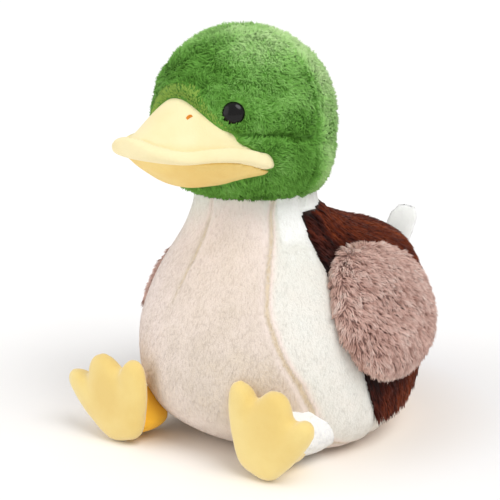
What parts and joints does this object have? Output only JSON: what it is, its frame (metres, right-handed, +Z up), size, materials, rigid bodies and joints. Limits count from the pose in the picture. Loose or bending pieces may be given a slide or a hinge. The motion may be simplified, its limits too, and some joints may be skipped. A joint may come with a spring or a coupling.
{
  "type": "plush duck",
  "caption": "Sitting stuffed toy duck of fur fabric with a round head, a broad bill, safety eyes, folded wings, a tail tab and webbed feet.",
  "frame": {"origin": "middle of the flat seat under the trunk, on the surface that the duck sits on", "axes": "+Z up, -Y the way the duck faces, +X the duck's left"},
  "size_m": [0.2334, 0.3051, 0.296],
  "materials": {
    "cream_plush": "short soft pile",
    "brown_plush": "combed pile",
    "green_plush": "thick clumped pile",
    "taupe_fur": "long shaggy pile",
    "yellow_velour": "velour",
    "orange_thread": "satin thread",
    "fibre": "polyester filling",
    "eye": "gloss",
    "nylon": "moulded"
  },
  "bodies": {
    "trunk": {"trunk_filling": "fibre", "base_panel": "cream_plush", "breast_panel": "cream_plush", "flank_panel_left": "cream_plush", "flank_panel_right": "cream_plush", "back_panel": "brown_plush", "tail": "cream_plush"},
    "neck": {"neck_filling": "fibre"},
    "head": {"head_filling": "fibre", "head_crown_panel": "green_plush", "head_chin_panel": "green_plush", "head_back_panel": "green_plush", "eye_left": "eye", "eye_washer_left": "nylon", "eye_right": "eye", "eye_washer_right": "nylon", "bill_upper": "yellow_velour", "bill_lower": "yellow_velour", "nostril_stitch_left": "orange_thread", "nostril_stitch_right": "orange_thread"},
    "wing_left": {"wing_left_cover": "taupe_fur", "wing_left_lining": "taupe_fur"},
    "wing_right": {"wing_right_cover": "taupe_fur", "wing_right_lining": "taupe_fur"},
    "leg_left": {"thigh_left": "cream_plush", "ankle_left": "yellow_velour", "foot_left_upper": "yellow_velour", "foot_left_sole": "yellow_velour"},
    "leg_right": {"thigh_right": "cream_plush", "ankle_right": "yellow_velour", "foot_right_upper": "yellow_velour", "foot_right_sole": "yellow_velour"}
  },
  "joints": [
    {"name": "head_turn", "type": "hinge", "parent": "trunk", "child": "neck", "pos_m": [-0.02, -0.028, 0.13767], "axis": [0, 0, 1], "range_deg": [-25, 25], "stiffness_Nm_per_rad": 0.3},
    {"name": "head_nod", "type": "hinge", "parent": "neck", "child": "head", "pos_m": [-0.02, -0.028, 0.13767], "axis": [1, 0, 0], "range_deg": [-8, 12], "stiffness_Nm_per_rad": 1.2},
    {"name": "wing_left_fold", "type": "hinge", "parent": "trunk", "child": "wing_left", "pos_m": [0.07988, -0.06028, 0.0922], "axis": [0.4388, -0.1359, -0.8883], "range_deg": [0, 70], "stiffness_Nm_per_rad": 0.12},
    {"name": "wing_right_fold", "type": "hinge", "parent": "trunk", "child": "wing_right", "pos_m": [-0.10109, -0.06035, 0.0918], "axis": [0.2516, 0.1464, 0.9567], "range_deg": [0, 70], "stiffness_Nm_per_rad": 0.12},
    {"name": "leg_left_swing", "type": "hinge", "parent": "trunk", "child": "leg_left", "pos_m": [0.055, -0.066, 0.0275], "axis": [1, 0, 0], "range_deg": [0, 25], "stiffness_Nm_per_rad": 0.4},
    {"name": "leg_right_swing", "type": "hinge", "parent": "trunk", "child": "leg_right", "pos_m": [-0.065, -0.082, 0.0275], "axis": [1, 0, 0], "range_deg": [0, 25], "stiffness_Nm_per_rad": 0.4}
  ]
}
